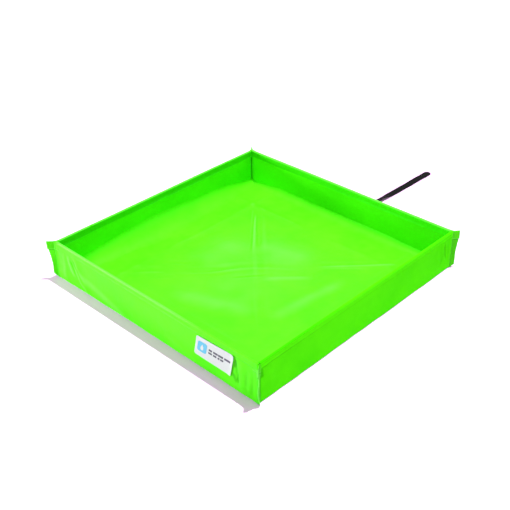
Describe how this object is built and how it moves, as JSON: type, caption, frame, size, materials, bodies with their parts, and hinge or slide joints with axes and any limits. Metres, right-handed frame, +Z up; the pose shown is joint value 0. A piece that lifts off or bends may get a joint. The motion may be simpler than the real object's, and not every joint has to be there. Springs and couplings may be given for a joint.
{
  "type": "folding spill containment tray",
  "caption": "Low square tray of bright coated fabric with board-stiffened walls that fold flat onto its floor, welded corner flanges and a storage strap.",
  "frame": {"origin": "middle of the floor's underside, on the surface that the tray stands on, without the strap", "axes": "+Z up; +X towards the wall that the strap leaves under; -X is the wall with the label; the front wall, -Y, folds under the left and right walls"},
  "size_m": [0.9635, 0.6298, 0.092],
  "materials": {
    "coated_fabric": "semi-gloss vinyl-coated polyester fabric, bright green",
    "board": "plain plastic board, sealed inside the walls",
    "label": "white satin vinyl label",
    "emblem": "light blue print",
    "print": "dark print",
    "webbing": "woven black polyester webbing",
    "hook_and_loop": "black hook and loop tape",
    "thread": "bonded black sewing thread"
  },
  "bodies": {
    "floor": {"floor_sheet": "coated_fabric", "left_web": "coated_fabric", "right_web": "coated_fabric", "strap_tab": "coated_fabric", "strap_webbing": "webbing", "strap_stitching": "thread", "strap_hook_patch": "hook_and_loop", "strap_loop_patch": "hook_and_loop"},
    "left_wall": {"left_outer_skin": "coated_fabric", "left_inner_skin": "coated_fabric", "left_board": "board", "left_hem": "coated_fabric", "front_left_seam": "coated_fabric", "back_left_seam": "coated_fabric", "label_base": "label", "label_emblem": "emblem", "label_bars": "print"},
    "right_wall": {"right_outer_skin": "coated_fabric", "right_inner_skin": "coated_fabric", "right_board": "board", "right_hem": "coated_fabric", "front_right_seam": "coated_fabric", "back_right_seam": "coated_fabric"},
    "front_wall": {"front_outer_skin": "coated_fabric", "front_inner_skin": "coated_fabric", "front_board": "board", "front_hem": "coated_fabric"},
    "back_wall": {"back_outer_skin": "coated_fabric", "back_inner_skin": "coated_fabric", "back_board": "board", "back_hem": "coated_fabric"},
    "front_left_corner": {"front_left_gusset": "coated_fabric"},
    "front_right_corner": {"front_right_gusset": "coated_fabric"},
    "back_left_corner": {"back_left_gusset": "coated_fabric"},
    "back_right_corner": {"back_right_gusset": "coated_fabric"}
  },
  "joints": [
    {"name": "left_wall_fold", "type": "hinge", "parent": "floor", "child": "left_wall", "pos_m": [-0.2993, 0, 0.0106], "axis": [0, 1, 0], "range_deg": [0, 90]},
    {"name": "right_wall_fold", "type": "hinge", "parent": "floor", "child": "right_wall", "pos_m": [0.2993, 0, 0.0106], "axis": [0, -1, 0], "range_deg": [0, 90]},
    {"name": "front_wall_fold", "type": "hinge", "parent": "floor", "child": "front_wall", "pos_m": [0, -0.2993, 0.0011], "axis": [-1, 0, 0], "range_deg": [0, 90]},
    {"name": "back_wall_fold", "type": "hinge", "parent": "floor", "child": "back_wall", "pos_m": [0, 0.2993, 0.0011], "axis": [1, 0, 0], "range_deg": [0, 90]},
    {"name": "front_left_crease", "type": "hinge", "parent": "front_wall", "child": "front_left_corner", "pos_m": [-0.299, -0.30515, 0.0011], "axis": [0.7071, 0, 0.7071], "range_deg": [0, 180], "deforming": ["front_left_gusset"]},
    {"name": "front_right_crease", "type": "hinge", "parent": "front_wall", "child": "front_right_corner", "pos_m": [0.299, -0.30515, 0.0011], "axis": [0.7071, 0, -0.7071], "range_deg": [0, 180], "deforming": ["front_right_gusset"]},
    {"name": "back_left_crease", "type": "hinge", "parent": "back_wall", "child": "back_left_corner", "pos_m": [-0.299, 0.30515, 0.0011], "axis": [-0.7071, 0, -0.7071], "range_deg": [0, 180], "deforming": ["back_left_gusset"]},
    {"name": "back_right_crease", "type": "hinge", "parent": "back_wall", "child": "back_right_corner", "pos_m": [0.299, 0.30515, 0.0011], "axis": [-0.7071, 0, 0.7071], "range_deg": [0, 180], "deforming": ["back_right_gusset"]}
  ],
  "couplings": [
    {"joint": "right_wall_fold", "follows": "left_wall_fold", "ratio": 1},
    {"joint": "front_wall_fold", "follows": "left_wall_fold", "ratio": 1},
    {"joint": "back_wall_fold", "follows": "left_wall_fold", "ratio": 1},
    {"joint": "front_left_crease", "follows": "left_wall_fold", "ratio": 2},
    {"joint": "front_right_crease", "follows": "left_wall_fold", "ratio": 2},
    {"joint": "back_left_crease", "follows": "left_wall_fold", "ratio": 2},
    {"joint": "back_right_crease", "follows": "left_wall_fold", "ratio": 2}
  ]
}
